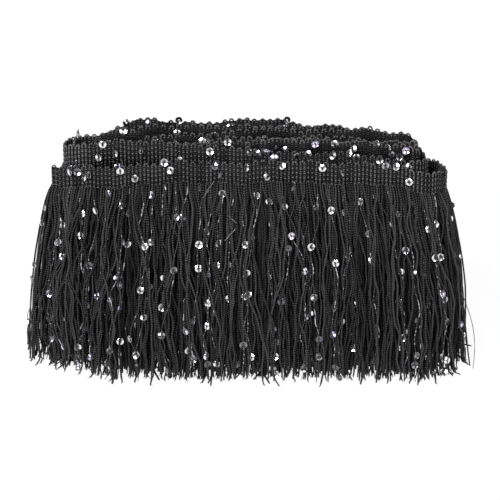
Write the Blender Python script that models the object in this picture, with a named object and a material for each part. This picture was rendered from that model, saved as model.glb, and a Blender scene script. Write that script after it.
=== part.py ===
"""Sequin fringe: 1.83 m of black chainette fringe on a knitted heading, wound in a flat oval coil.

The coil stands on the ends of its strands with the heading upwards. The tape runs in rows joined by
half-elliptical bends, from its cut end at the front left to its inner end in the middle of the coil.
X runs along the rows, Y to the back and Z up. "Forward" is the distance in front of the coil's axis.
"""

from collections import namedtuple

import bmesh
import bpy
import numpy as np

METRES_PER_MM = 0.001

# The trim as it is made
TAPE_LENGTH = 1830.0
HEADING_HEIGHT = 14.5
HEADING_THICKNESS = 2.4
STRAND_PITCH = 2.5
STRAND_WIDTH = 1.6
ROOT_STRIP_HEIGHT = 3.0
GAP = 0.3

# The fringe of the inner laps, a soft wall that thickens towards the floor
WALL_TOP_THICKNESS = 3.0
WALL_FOOT_THICKNESS = 6.0

# The coil's plan, each pair at the heading and at the floor
LEFT_BEND_X = -98.0
RIGHT_BEND_X = 100.0
CUT_END_X = (-122.0, -141.0)
CUT_END_CURL = (9.0, 27.0)
CURL_START_X = -62.0
ROW_BOW = 2.0
AXIS_Y = 2.0

# A row of tape and the bend after it. tops are the heights of the heading's upper edge, evenly spaced
# along the row in the order in which the tape runs, and bend_top is its height at the bend's far point.
# forward and reach are the row's place and how far its bend goes past the row, at the heading and floor.
Row = namedtuple("Row", "tops bend_top forward reach")
ROWS = (
    Row((138.0, 142.3, 144.2, 143.8, 141.0), 129.5, (24.0, 48.0), (23.0, 39.0)),
    Row((125.0, 135.0, 144.0, 152.0, 152.5, 150.5, 150.0, 151.0, 142.0), 144.0, (-22.0, -42.0), (16.3, 35.0)),
    Row((154.3, 152.7, 148.8, 145.2, 142.0), 135.0, (15.0, 24.0), (10.8, 26.0)),
    Row((146.0, 151.5, 151.5, 152.0, 148.0), 150.0, (-13.5, -23.5), (11.0, 17.0)),
    Row((153.5, 154.5, 152.5, 151.5, 149.5), 142.0, (9.0, 14.0), (6.8, 16.0)),
    Row((150.0, 151.5, 151.5, 152.0, 151.0), 150.0, (-8.0, -13.5), (5.5, 9.0)),
    Row((147.0, 149.0, 151.0, 150.0, 149.0), 148.0, (3.5, 4.5), (3.6, 7.0)),
    Row((148.0, 149.0, 150.5, 149.0, 147.0), 147.0, (-2.5, -4.5), (0.0, 0.0)),
)

# How finely the tape is worked out, and how finely its solids follow it
ROW_STEPS = 200
BEND_STEPS = 48
SMOOTHING_STEPS = 31
HEADING_SECTION = 9.0
WALL_SECTION = 10.0
SECTION_TURN = 0.4
WALL_FALLS = (0.0, 0.3, 0.65, 1.0)
STRAND_FALLS = (0.07, 0.3, 0.55, 0.8, 1.0)

# Slow waves that draw the strands together into locks and part them again
Wave = namedtuple("Wave", "height length phase")
SWAY_WAVES = (Wave(1.2, 70.0, 0.4), Wave(0.3, 19.0, 2.1))
DEPTH_WAVES = (Wave(1.3, 41.0, 1.0), Wave(0.8, 7.1, 0.2))
SWAY_FADE = 20.0

BLACK_KNIT = (0.016, 0.016, 0.017, 1.0)
BLACK_STRANDS = (0.012, 0.012, 0.013, 1.0)
INNER_STRANDS = (0.009, 0.009, 0.010, 1.0)


def forward_of(row, index, x, level):
    """How far forward a row lies at x: bowed back twice along its length, with the cut end curled in."""
    along = np.clip((x - LEFT_BEND_X) / (RIGHT_BEND_X - LEFT_BEND_X), 0.0, 1.0)
    forward = row.forward[level] - ROW_BOW * np.sin(2 * np.pi * along) ** 2
    if index == 0:
        curl = np.clip((CURL_START_X - x) / (CURL_START_X - CUT_END_X[level]), 0.0, 1.0)
        forward = forward - CUT_END_CURL[level] * curl**1.5
    return forward


def tape_plan(level):
    """The tape's centre line from above, at the heading (level 0) or the floor (level 1)."""
    pieces = []
    for index, row in enumerate(ROWS):
        heading_right = index % 2 == 0
        start = LEFT_BEND_X if heading_right else RIGHT_BEND_X
        end = RIGHT_BEND_X if heading_right else LEFT_BEND_X
        if index == 0:
            start = CUT_END_X[level]
        x = np.linspace(start, end, ROW_STEPS, endpoint=False)
        pieces.append((x, forward_of(row, index, x, level)))
        if index + 1 < len(ROWS):
            turned = np.linspace(0.0, np.pi, BEND_STEPS, endpoint=False)
            here, there = row.forward[level], ROWS[index + 1].forward[level]
            side = 1 if heading_right else -1
            bend_x = end + side * row.reach[level] * np.sin(turned)
            bend_forward = (here + there) / 2 + (here - there) / 2 * np.cos(turned)
            pieces.append((bend_x, bend_forward))
    x, forward = (np.concatenate(column) for column in zip(*pieces))
    return np.stack([x, AXIS_Y - forward], axis=1)


def tape_tops(count):
    """The height of the heading's upper edge at each step of the tape, eased between the rows' heights."""
    steps, heights = [], []
    first = 0
    for row in ROWS:
        steps.extend(first + ROW_STEPS * np.linspace(0.0, 1.0, len(row.tops)))
        heights.extend(row.tops)
        steps.append(first + ROW_STEPS + BEND_STEPS / 2)
        heights.append(row.bend_top)
        first += ROW_STEPS + BEND_STEPS
    tops = np.interp(np.arange(count), steps, heights)
    window = np.hanning(SMOOTHING_STEPS + 2)[1:-1]
    padded = np.pad(tops, SMOOTHING_STEPS // 2, mode="edge")
    return np.convolve(padded, window / window.sum(), mode="valid")


class Tape:
    """The wound tape: places on it are found by their distance from the cut end."""

    def __init__(self):
        self.heading_plan = tape_plan(0)
        self.floor_plan = tape_plan(1)
        self.tops = tape_tops(len(self.heading_plan))
        steps = np.linalg.norm(np.diff(self.heading_plan, axis=0), axis=1)
        self.distance = np.concatenate([[0.0], np.cumsum(steps)])
        tangent = np.gradient(self.heading_plan, axis=0)
        tangent /= np.linalg.norm(tangent, axis=1)[:, None]
        self.outward = np.stack([tangent[:, 1], -tangent[:, 0]], axis=1)

    def read(self, columns, distance):
        return np.stack([np.interp(distance, self.distance, column) for column in columns.T], axis=-1)

    def top(self, distance):
        return np.interp(distance, self.distance, self.tops)

    def side(self, distance):
        """The level direction that points out of the coil."""
        outward = self.read(self.outward, distance)
        return outward / np.linalg.norm(outward, axis=-1, keepdims=True)

    def plan(self, distance, fall):
        """The place from above at a fall of 0 at the heading's lower edge to 1 at the floor."""
        high = self.read(self.heading_plan, distance)
        low = self.read(self.floor_plan, distance)
        return high + (low - high) * np.sin(np.pi / 2 * fall)

    def end_of(self, row, bend_share):
        """The distance at a share of the bend after a row: 0 where the row ends, 1 where the next starts."""
        step = (row + 1) * ROW_STEPS + (row + bend_share) * BEND_STEPS
        return float(np.interp(step, np.arange(len(self.distance)), self.distance))

    def sections(self, start, end, row_section):
        """Distances from start to end: a row section apart where the tape is straight, closer in its bends."""
        heading_angle = np.unwrap(np.arctan2(self.outward[:, 1], self.outward[:, 0]))
        turned = np.concatenate([[0.0], np.cumsum(np.abs(np.diff(heading_angle)))])
        measure = self.distance / row_section + turned / SECTION_TURN
        first, last = np.interp((start, end), self.distance, measure)
        even = np.linspace(first, last, int(np.ceil(last - first)) + 1)
        return np.interp(even, measure, self.distance)


def wave(waves, distance):
    return sum(w.height * np.sin(2 * np.pi * distance / w.length + w.phase) for w in waves)


def material(name, colour, roughness):
    made = bpy.data.materials.new(name)
    made.use_nodes = True
    shader = made.node_tree.nodes["Principled BSDF"]
    shader.inputs["Base Color"].default_value = colour
    shader.inputs["Roughness"].default_value = roughness
    shader.inputs["Sheen Weight"].default_value = 0.3
    made.diffuse_color = colour
    return made


def solid(name, points_mm, faces, colour, roughness=0.7):
    """A named object from points in millimetres, with its faces turned outwards."""
    mesh = bpy.data.meshes.new(name)
    mesh.from_pydata(np.asarray(points_mm) * METRES_PER_MM, [], faces)
    mesh.materials.append(material(name + "_yarn", colour, roughness))
    shape = bmesh.new()
    shape.from_mesh(mesh)
    bmesh.ops.recalc_face_normals(shape, faces=shape.faces)
    bmesh.ops.triangulate(shape, faces=shape.faces)
    shape.to_mesh(mesh)
    shape.free()
    made = bpy.data.objects.new(name, mesh)
    bpy.context.scene.collection.objects.link(made)
    return made


def swept_faces(count, around):
    """The faces of a tube of sections, each of so many points, closed by a cap at both ends."""
    faces = [tuple(range(around)), tuple(range((count - 1) * around, count * around))]
    for section in range(count - 1):
        for corner in range(around):
            following = (corner + 1) % around
            here, there = section * around, (section + 1) * around
            faces.append((here + corner, there + corner, there + following, here + following))
    return faces


def add_heading(tape):
    """The knitted band, standing on edge along the whole tape."""
    marks = tape.sections(0.0, TAPE_LENGTH, HEADING_SECTION)
    middle = tape.plan(marks, 0.0)
    half = tape.side(marks) * HEADING_THICKNESS / 2
    top = tape.top(marks)[:, None]
    low = top - HEADING_HEIGHT
    corners = [(half, low), (half, top), (-half, top), (-half, low)]
    rings = np.stack([np.hstack([middle + across, z]) for across, z in corners], axis=1)
    faces = swept_faces(len(marks), len(corners))
    return solid("heading", rings.reshape(-1, 3), faces, BLACK_KNIT)


def add_wound_skirt(tape, start):
    """The inner laps' fringe, one wound wall from under the heading to its flat foot on the floor."""
    marks = tape.sections(start, TAPE_LENGTH, WALL_SECTION)
    root = tape.top(marks) - HEADING_HEIGHT - GAP
    side = tape.side(marks)
    outer, inner = [], []
    for fall in WALL_FALLS:
        middle = tape.plan(marks, fall)
        thickness = WALL_TOP_THICKNESS + (WALL_FOOT_THICKNESS - WALL_TOP_THICKNESS) * fall
        z = (root * (1.0 - fall))[:, None]
        outer.append(np.hstack([middle + side * thickness / 2, z]))
        inner.append(np.hstack([middle - side * thickness / 2, z]))
    rings = np.stack(outer + inner[::-1], axis=1)
    faces = swept_faces(len(marks), 2 * len(WALL_FALLS))
    return solid("wound_skirt", rings.reshape(-1, 3), faces, INNER_STRANDS)


def strand_rings(tape, middles, start, end):
    """Three corners of every strand at each fall, in the order outer left, outer right, inner."""
    fade = np.clip(np.minimum(middles - start, end - middles) / SWAY_FADE, 0.0, 1.0)
    root = tape.top(middles) - HEADING_HEIGHT - GAP - ROOT_STRIP_HEIGHT
    rings = []
    for fall in STRAND_FALLS:
        eased = np.sin(np.pi / 2 * fall)
        swayed = middles + fade * eased * wave(SWAY_WAVES, middles)
        side = tape.side(swayed)
        along = np.stack([-side[:, 1], side[:, 0]], axis=1)
        depth = fade * eased * wave(DEPTH_WAVES, middles)
        centre = tape.plan(swayed, fall) + side * depth[:, None]
        z = (root * (1.0 - fall))[:, None]
        half = STRAND_WIDTH / 2
        corners = (-half * along + half * side, half * along + half * side, -half * side)
        rings.append(np.stack([np.hstack([centre + corner, z]) for corner in corners], axis=1))
    return np.stack(rings)


def add_fringe(tape, name, start, end):
    """A narrow strip of roots with its strands, each of three sides, grown from the strip's underside.

    The strip's underside is a zigzag of triangles between its outer corners, one each side of a strand,
    and its inner corners, one behind each strand. Every second triangle carries a strand on to the floor.
    """
    count = int((end - start) / STRAND_PITCH)
    edges = start + STRAND_PITCH * np.arange(count + 1)
    middles = edges[:-1] + STRAND_PITCH / 2
    behind = np.concatenate([edges[:1], middles, edges[-1:]])

    def strip_line(distance, offset, height):
        z = tape.top(distance) - HEADING_HEIGHT - GAP - height
        return np.hstack([tape.plan(distance, 0.0) + offset * tape.side(distance), z[:, None]])

    half = HEADING_THICKNESS / 2
    lines = [
        strip_line(edges, half, 0.0),
        strip_line(behind, -half, 0.0),
        strip_line(edges, half, ROOT_STRIP_HEIGHT),
        strip_line(behind, -half, ROOT_STRIP_HEIGHT),
    ]
    outer_top, inner_top, outer_low, inner_low, strands = np.cumsum([0] + [len(line) for line in lines])
    rings = strand_rings(tape, middles, edges[0], edges[-1])
    points = np.concatenate(lines + [rings.reshape(-1, 3)])

    faces = [
        (outer_top, outer_low, inner_low, inner_top),
        (outer_top + count, inner_top + count + 1, inner_low + count + 1, outer_low + count),
    ]
    for k in range(count):
        faces.append((outer_top + k, outer_top + k + 1, outer_low + k + 1, outer_low + k))
        faces.append((outer_top + k, inner_top + k + 1, outer_top + k + 1))
        upper = (outer_low + k, outer_low + k + 1, inner_low + k + 1)
        for level in range(len(STRAND_FALLS)):
            ring = strands + (level * count + k) * 3
            lower = (ring, ring + 1, ring + 2)
            for corner in range(3):
                following = (corner + 1) % 3
                faces.append((upper[corner], upper[following], lower[following], lower[corner]))
            upper = lower
        faces.append(upper)
    for k in range(count + 1):
        faces.append((inner_top + k, inner_low + k, inner_low + k + 1, inner_top + k + 1))
        faces.append((inner_top + k, inner_top + k + 1, outer_top + k))
        faces.append((inner_low + k, outer_low + k, inner_low + k + 1))
    return solid(name, points, faces, BLACK_STRANDS)


def main():
    for stale in list(bpy.data.objects):
        bpy.data.objects.remove(stale)
    tape = Tape()
    front_split = tape.end_of(0, 0.5)
    skirt_start = tape.end_of(1, 1.0)
    add_heading(tape)
    add_fringe(tape, "front_fringe", GAP, front_split - GAP)
    add_fringe(tape, "back_fringe", front_split + GAP, skirt_start - GAP)
    add_wound_skirt(tape, skirt_start + GAP)


main()
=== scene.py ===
"""The looks of the sequin fringe: its knitted heading, strands, carrier yarns and sequins, and the studio.

The tape's path keeps close to the one that the CAD solids follow. Every yarn is worked out in millimetres
on it, from its distance along the tape and its distance down from the heading, and turned to metres when
its mesh is made. A yarn is a tube round its centre line, and the sequins are copies of one cupped disc.
"""

from collections import namedtuple
from types import SimpleNamespace

import bpy
import numpy as np
from bpy.props import FloatProperty, FloatVectorProperty, PointerProperty
from bpy.types import Operator, Panel, PropertyGroup
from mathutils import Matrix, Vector


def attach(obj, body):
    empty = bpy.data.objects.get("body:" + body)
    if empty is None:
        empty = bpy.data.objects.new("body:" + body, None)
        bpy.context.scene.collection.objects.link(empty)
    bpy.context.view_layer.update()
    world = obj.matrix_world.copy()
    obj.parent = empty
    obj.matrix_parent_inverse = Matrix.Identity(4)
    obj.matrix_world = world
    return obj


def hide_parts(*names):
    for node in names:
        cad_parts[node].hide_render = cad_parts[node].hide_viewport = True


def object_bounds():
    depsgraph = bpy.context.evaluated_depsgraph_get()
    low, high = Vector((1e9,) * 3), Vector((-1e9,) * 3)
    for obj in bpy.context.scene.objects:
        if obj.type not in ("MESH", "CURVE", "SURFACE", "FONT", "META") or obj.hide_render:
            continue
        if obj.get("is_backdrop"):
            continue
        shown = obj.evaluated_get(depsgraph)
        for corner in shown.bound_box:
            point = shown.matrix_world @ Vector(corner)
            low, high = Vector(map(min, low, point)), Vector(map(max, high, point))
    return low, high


bl_info = {
    "name": "Sequin fringe trimming",
    "version": (1, 0, 0),
    "blender": (4, 5, 0),
    "location": "3D View > Sidebar > Fringe",
    "description": "Knits, hangs and lights a wound length of sequin fringe",
    "category": "Object",
}

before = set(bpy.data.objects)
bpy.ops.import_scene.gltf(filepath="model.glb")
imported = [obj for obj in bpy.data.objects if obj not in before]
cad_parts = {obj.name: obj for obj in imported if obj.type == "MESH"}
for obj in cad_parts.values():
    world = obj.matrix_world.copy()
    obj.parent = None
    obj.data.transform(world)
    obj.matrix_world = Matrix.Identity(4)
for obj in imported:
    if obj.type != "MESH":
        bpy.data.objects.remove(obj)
CAD_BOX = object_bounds()

MM = 0.001

# The tape's plan, each pair at the heading and at the floor, close to that of the CAD solids. The first
# row's foot stands 8 mm further back, so that long ends can lie in front of it, and runs on to the right
# before its bend, whose foot is a little narrower. The inner rows dip by up to 12 mm more at their ends.
TAPE_LENGTH = 1830.0
LEFT_BEND_X = -98.0
RIGHT_BEND_X = 100.0
FIRST_ROW_RUN = (0.0, 12.0)
CUT_END_X = (-122.0, -141.0)
CUT_END_CURL = (9.0, 27.0)
CURL_START_X = -62.0
ROW_BOW = 2.0
AXIS_Y = 2.0

# A row of tape and the bend after it. tops are the heights of the heading's upper edge, evenly spaced
# along the row in the order in which the tape runs, and bend_top is its height at the bend's far point.
# forward and reach are the row's place and how far its bend goes past the row, at the heading and floor.
Row = namedtuple("Row", "tops bend_top forward reach")
ROWS = (
    Row((136.5, 142.3, 144.2, 143.8, 141.0), 127.5, (24.0, 40.0), (23.0, 30.5)),
    Row((128.0, 135.0, 144.0, 152.0, 152.5, 150.5, 150.0, 152.0, 139.5), 143.0, (-22.0, -42.0), (16.3, 35.0)),
    Row((154.3, 152.7, 148.8, 145.2, 142.0), 135.0, (15.0, 24.0), (10.5, 22.0)),
    Row((143.0, 151.5, 151.5, 152.0, 146.0), 147.0, (-13.5, -23.5), (11.0, 17.0)),
    Row((144.0, 144.5, 146.0, 150.5, 152.5, 152.0, 151.5, 150.0, 148.0), 140.0, (9.0, 14.0), (6.8, 16.0)),
    Row((150.0, 151.5, 151.5, 147.0, 139.5), 139.0, (-8.0, -13.5), (5.5, 9.0)),
    Row((142.0, 143.0, 150.0, 149.0, 147.0), 146.0, (3.5, 4.5), (3.6, 7.0)),
    Row((146.0, 148.0, 149.0, 143.0, 140.0), 142.0, (-2.5, -4.5), (0.0, 0.0)),
)
ROW_STEPS = 200
BEND_STEPS = 48
SMOOTHING_STEPS = 31

# The turning at which the tape counts as fully bent, and the turning that its band takes before it is drawn
# out, in radians a millimetre. At the cut end the band is fully drawn out up to the first distance, and not
# at all from the second on.
BEND_TURNING = 0.05
GENTLE_TURNING = 0.02
CUT_END_DRAWN = (4.0, 9.0)

# Slow waves that draw the strands together and part them again, as in the CAD solids
Wave = namedtuple("Wave", "height length phase")
SWAY_WAVES = (Wave(1.2, 70.0, 0.4), Wave(0.3, 19.0, 2.1))
DEPTH_WAVES = (Wave(1.3, 41.0, 1.0), Wave(0.8, 7.1, 0.2))

# How unevenly the heading stands: its height, and its place from above
TOP_WAVES = (Wave(0.8, 63.0, 0.5), Wave(0.6, 27.0, 1.9), Wave(0.35, 11.3, 0.2))
PLAN_WAVES = (Wave(0.7, 57.0, 0.3), Wave(0.4, 23.0, 1.1))

# How soon the flare of the strands at the cut end dies away along the first row
FLARE_LENGTH = 28.0

# A strand gets from its place at the heading to its place at the floor by the sine of its fall to this power
FALL_POWER = 0.75

# How a group of yarns hangs. lock is the fewest and most strands in a lock, pull how far they close up in
# it, lean how far a lock swings, crimp how far each yarn wanders, stray the share that crosses the rest,
# proud the distance in front of the tape at its foot, spread how far the yarns lie behind each other, laid
# how much of a yarn lies on the floor, and longer the most that one in four has beyond that.
Hang = namedtuple("Hang", "lock pull lean crimp stray proud spread laid longer")
FRONT_HANG = Hang((2, 6), (0.1, 0.6), 2.8, 2.2, 0.3, 0.4, 0.9, 0.8, 5.5)
REAR_HANG = Hang((2, 9), (0.0, 0.4), 2.4, 1.8, 0.22, -1.6, 0.9, 0.8, 5.0)
# The fill: thick strands well behind the rest, painted dark, that stand in for the shade inside the coil
DARK_FILL_HANG = Hang((2, 6), (0.0, 0.05), 0.8, 0.6, 0.0, -4.5, 1.2, 2.0, 3.0)
INNER_HANG = Hang((3, 9), (0.0, 0.3), 1.4, 1.2, 0.06, 0.0, 3.0, 7.0, 14.0)
CARRIER_HANG = Hang((1, 3), (0.0, 0.3), 2.6, 2.6, 0.45, 0.9, 1.0, 0.0, 4.0)

# The half waves that a lock swings in, and those that each yarn crimps in, with the share of each
LEAN_WAVES = ((1, 0.8), (2, 0.6), (3, 0.5), (5, 0.35), (8, 0.2))
CRIMP_WAVES = ((2, 0.5), (4, 0.45), (7, 0.35), (11, 0.22), (17, 0.14), (27, 0.08))

# What all groups share: the strands in a broad lock, and the most that it closes up, as a share of what a
# narrow one does; the share of the way down at which a lock is closed, and the share of its closing that it
# keeps at its foot; and how far a stray strand crosses the rest, from where and over how much of the way down
BROAD_LOCK = (8, 20)
BROAD_PULL = 0.4
CLOSED_AT = (0.15, 0.65)
KEPT_AT_FOOT = (0.2, 1.0)
STRAY_REACH = (3.0, 9.0)
STRAY_FROM = (0.0, 0.5)
STRAY_OVER = (0.25, 0.5)

# The share of yarns that are cut well long and well short, and how much the short ones lack
LONG_SHARE = 0.25
SHORT_SHARE = 0.15
SHORT_BY = (1.0, 5.0)

# How far a yarn takes to turn from hanging to lying on the floor, and how far its toe turns aside there, in
# radians
TOE_BEND = 1.6
TOE_TURN = 0.22

# Strands this near to an end of the tape move less along it
TAPE_END_HELD = 6.0

# The half waves of a yarn's uneven thickness along its length
SWELL_WAVES = np.array([3, 7, 13, 19])[:, None]

# Strands and threads that hang loose on the outside of the coil. start and end are distances along the
# tape, top and bottom heights above the floor, bow how far it stands out in the middle, and flare how far
# at its foot.
LooseThread = namedtuple("LooseThread", "start top end bottom bow flare", defaults=(0.0,))
LOOSE_STRANDS = (
    LooseThread(2.0, 44.0, 0.2, 7.0, 2.5),
    LooseThread(2.4, 40.0, 0.0, 11.0, 4.5),
    LooseThread(3.5, 40.0, 1.0, 1.0, 2.0),
    LooseThread(1.7, 106.0, 1.9, 2.0, -1.0),
    LooseThread(2.8, 100.0, 2.4, 1.5, -1.4),
    LooseThread(250.0, 46.0, 246.0, 1.0, 0.5, 6.5),
)
LOOSE_THREADS = (
    LooseThread(101.5, 130.8, 94.5, 120.5, 1.0),
    LooseThread(95.0, 121.0, 98.5, 125.5, 0.5),
    LooseThread(111.0, 109.5, 115.0, 106.0, 0.5),
    LooseThread(114.0, 102.5, 107.5, 94.5, 0.8),
    LooseThread(1.0, 43.0, 1.0, 26.0, 5.0),
    LooseThread(3.0, 92.0, 3.0, 84.0, 1.5),
    LooseThread(258.0, 38.0, 245.0, 0.5, 4.0, 9.5),
    LooseThread(262.0, 84.0, 262.5, 66.0, 1.5),
    LooseThread(263.0, 82.0, 261.0, 65.0, 0.5),
    LooseThread(259.0, 50.0, 258.0, 26.0, 0.5),
    LooseThread(261.0, 44.0, 260.0, 22.0, 1.0),
    LooseThread(499.0, 132.0, 501.5, 145.5, 1.0),
    LooseThread(500.0, 132.0, 502.0, 144.5, 1.5),
    LooseThread(504.0, 131.0, 502.5, 144.0, 0.5),
    LooseThread(503.0, 131.0, 501.5, 142.5, 2.0),
    LooseThread(500.5, 131.0, 502.0, 145.0, 0.0),
)

# The sequins that show on the headings' near faces, and those on the coil's left edge: the row of tape, x,
# how far below the heading's upper edge, how far it turns to the right in radians, and its shade (near 0
# clear, near 0.7 silver, over 1 violet)
Sequin = namedtuple("Sequin", "row x below turn shade")
SHOWN_SEQUINS = (
    Sequin(0, -121.7, 29.0, -0.9, 0.3),
    Sequin(0, -121.0, 40.0, -0.6, 0.5),
    Sequin(0, -121.5, 70.0, -0.5, 0.4),
    Sequin(0, -121.9, 80.0, -0.8, 0.1),
    Sequin(0, -121.3, 110.0, -0.3, 0.5),
    Sequin(0, -109.3, 3.8, -0.7, 0.7),
    Sequin(0, -104.7, 3.5, 0.2, 0.1),
    Sequin(0, -101.2, 7.7, -0.9, 0.7),
    Sequin(0, -97.5, 6.6, -0.8, 0.7),
    Sequin(0, -78.5, 3.0, 0.1, 0.7),
    Sequin(0, -69.4, 9.8, 0.4, 0.35),
    Sequin(0, -51.4, 0.2, 0.0, 0.35),
    Sequin(0, -47.6, 6.0, -0.3, 0.7),
    Sequin(0, -20.8, 3.0, -0.4, 0.15),
    Sequin(0, -16.1, 9.2, 0.7, 0.1),
    Sequin(0, -1.5, 2.6, -0.9, 0.6),
    Sequin(0, 11.6, 10.8, 0.5, 0.4),
    Sequin(0, 20.3, 2.6, -0.6, 0.7),
    Sequin(0, 45.3, 3.6, -0.2, 0.7),
    Sequin(0, 56.5, 7.0, 0.8, 0.1),
    Sequin(0, 83.9, 1.2, 0.3, 0.3),
    Sequin(0, 90.2, 1.4, -0.5, 0.5),
    Sequin(0, 108.2, 9.0, 0.2, 0.6),
    Sequin(2, -89.4, 2.2, 0.0, 0.7),
    Sequin(2, -91.9, 10.0, -0.6, 0.7),
    Sequin(2, -82.5, 9.3, -0.8, 0.7),
    Sequin(2, -65.7, 6.4, -1.0, 0.7),
    Sequin(2, -42.0, 11.3, 0.4, 0.3),
    Sequin(2, -23.6, 4.5, 0.2, 0.4),
    Sequin(2, 1.0, 3.5, -0.8, 0.5),
    Sequin(2, 5.4, 3.2, -0.3, 0.3),
    Sequin(2, 4.7, 9.0, 0.1, 0.2),
    Sequin(2, 11.0, 2.0, -0.2, 1.15),
    Sequin(2, 16.0, 4.5, 0.0, 1.2),
    Sequin(2, 29.7, 3.4, 0.3, 0.35),
    Sequin(2, 36.5, 1.5, -0.4, 0.5),
    Sequin(2, 51.5, 2.1, 0.3, 0.7),
    Sequin(2, 61.5, 0.2, -0.7, 0.7),
    Sequin(2, 66.5, 2.2, 0.1, 0.5),
    Sequin(2, 80.8, 3.0, 0.2, 0.7),
    Sequin(2, 113.0, 4.0, 0.5, 0.7),
    Sequin(4, 64.6, 4.6, -0.4, 0.7),
    Sequin(4, -28.3, -0.6, 0.0, 0.8),
    Sequin(4, -12.7, 0.2, 0.1, 0.6),
    Sequin(4, 53.4, 1.8, 0.3, 0.45),
    Sequin(4, 78.9, 0.2, -0.8, 0.6),
    Sequin(4, 85.8, 3.1, -0.7, 0.3),
    Sequin(4, 97.0, 4.2, 0.1, 1.4),
    Sequin(5, -21.4, 1.0, 0.2, 0.3),
    Sequin(3, -94.4, 5.0, 0.0, 0.7),
    Sequin(3, -78.2, 1.2, 0.0, 0.8),
    Sequin(3, -44.5, 5.5, 0.1, 0.25),
    Sequin(3, 17.8, 2.0, 0.1, 0.7),
    Sequin(1, -76.7, -1.0, 0.0, 0.1),
    Sequin(1, -43.6, -1.0, 0.0, 0.15),
    Sequin(1, 24.0, 0.0, 0.3, 0.1),
)


def linear_of(hex_colour):
    """The linear red, green and blue of an sRGB colour written as six hex digits."""
    shares = np.array([int(hex_colour[place : place + 2], 16) / 255.0 for place in (0, 2, 4)])
    linear = np.where(shares <= 0.04045, shares / 12.92, ((shares + 0.055) / 1.055) ** 2.4)
    return tuple(float(channel) for channel in linear)


def ease(share):
    """3x² − 2x³ of a share held between 0 and 1: a step with soft ends."""
    held = np.clip(share, 0.0, 1.0)
    return held * held * (3.0 - 2.0 * held)


def wave(waves, distance):
    """The sum of sine waves at distances along the tape."""
    return sum(w.height * np.sin(2 * np.pi * distance / w.length + w.phase) for w in waves)


def unit(vectors):
    """Vectors along the last axis, each made one long."""
    return vectors / np.maximum(np.linalg.norm(vectors, axis=-1, keepdims=True), 1e-9)


# The tape's path


def forward_of(row, index, x, level):
    """How far forward a row lies at x: bowed back twice along its length, with the cut end curled in."""
    along = np.clip((x - LEFT_BEND_X) / (RIGHT_BEND_X - LEFT_BEND_X), 0.0, 1.0)
    forward = row.forward[level] - ROW_BOW * np.sin(2 * np.pi * along) ** 2
    if index == 0:
        curl = np.clip((CURL_START_X - x) / (CURL_START_X - CUT_END_X[level]), 0.0, 1.0)
        forward = forward - CUT_END_CURL[level] * curl**1.5
    return forward


def tape_plan(level):
    """The tape's centre line from above, at the heading (level 0) or the floor (level 1).

    A row is a straight run of x with its bow. A bend is half an ellipse: x goes out by reach times the
    sine, and forward goes from one row to the next by the cosine, of an angle from 0 to half a turn. The
    first row runs on by the cube of the share along it, and its bend comes back evenly by as much.
    """
    pieces = []
    for index, row in enumerate(ROWS):
        heading_right = index % 2 == 0
        start = LEFT_BEND_X if heading_right else RIGHT_BEND_X
        end = RIGHT_BEND_X if heading_right else LEFT_BEND_X
        run = 0.0
        if index == 0:
            start, run = CUT_END_X[level], FIRST_ROW_RUN[level]
        share = np.linspace(0.0, 1.0, ROW_STEPS, endpoint=False)
        x = start + (end - start) * share + run * share**3
        pieces.append((x, forward_of(row, index, x, level)))
        if index + 1 < len(ROWS):
            turned = np.linspace(0.0, np.pi, BEND_STEPS, endpoint=False)
            here, there = row.forward[level], ROWS[index + 1].forward[level]
            side = 1 if heading_right else -1
            bend_x = end + side * row.reach[level] * np.sin(turned) + run * (1.0 - turned / np.pi)
            bend_forward = (here + there) / 2 + (here - there) / 2 * np.cos(turned)
            pieces.append((bend_x, bend_forward))
    x, forward = (np.concatenate(column) for column in zip(*pieces))
    return np.stack([x, AXIS_Y - forward], axis=1)


def tape_tops(count):
    """The height of the heading's upper edge at each step of the tape, eased between the rows' heights."""
    steps, heights = [], []
    first = 0
    for row in ROWS:
        steps.extend(first + ROW_STEPS * np.linspace(0.0, 1.0, len(row.tops)))
        heights.extend(row.tops)
        steps.append(first + ROW_STEPS + BEND_STEPS / 2)
        heights.append(row.bend_top)
        first += ROW_STEPS + BEND_STEPS
    tops = np.interp(np.arange(count), steps, heights)
    window = np.hanning(SMOOTHING_STEPS + 2)[1:-1]
    padded = np.pad(tops, SMOOTHING_STEPS // 2, mode="edge")
    return np.convolve(padded, window / window.sum(), mode="valid")


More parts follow.
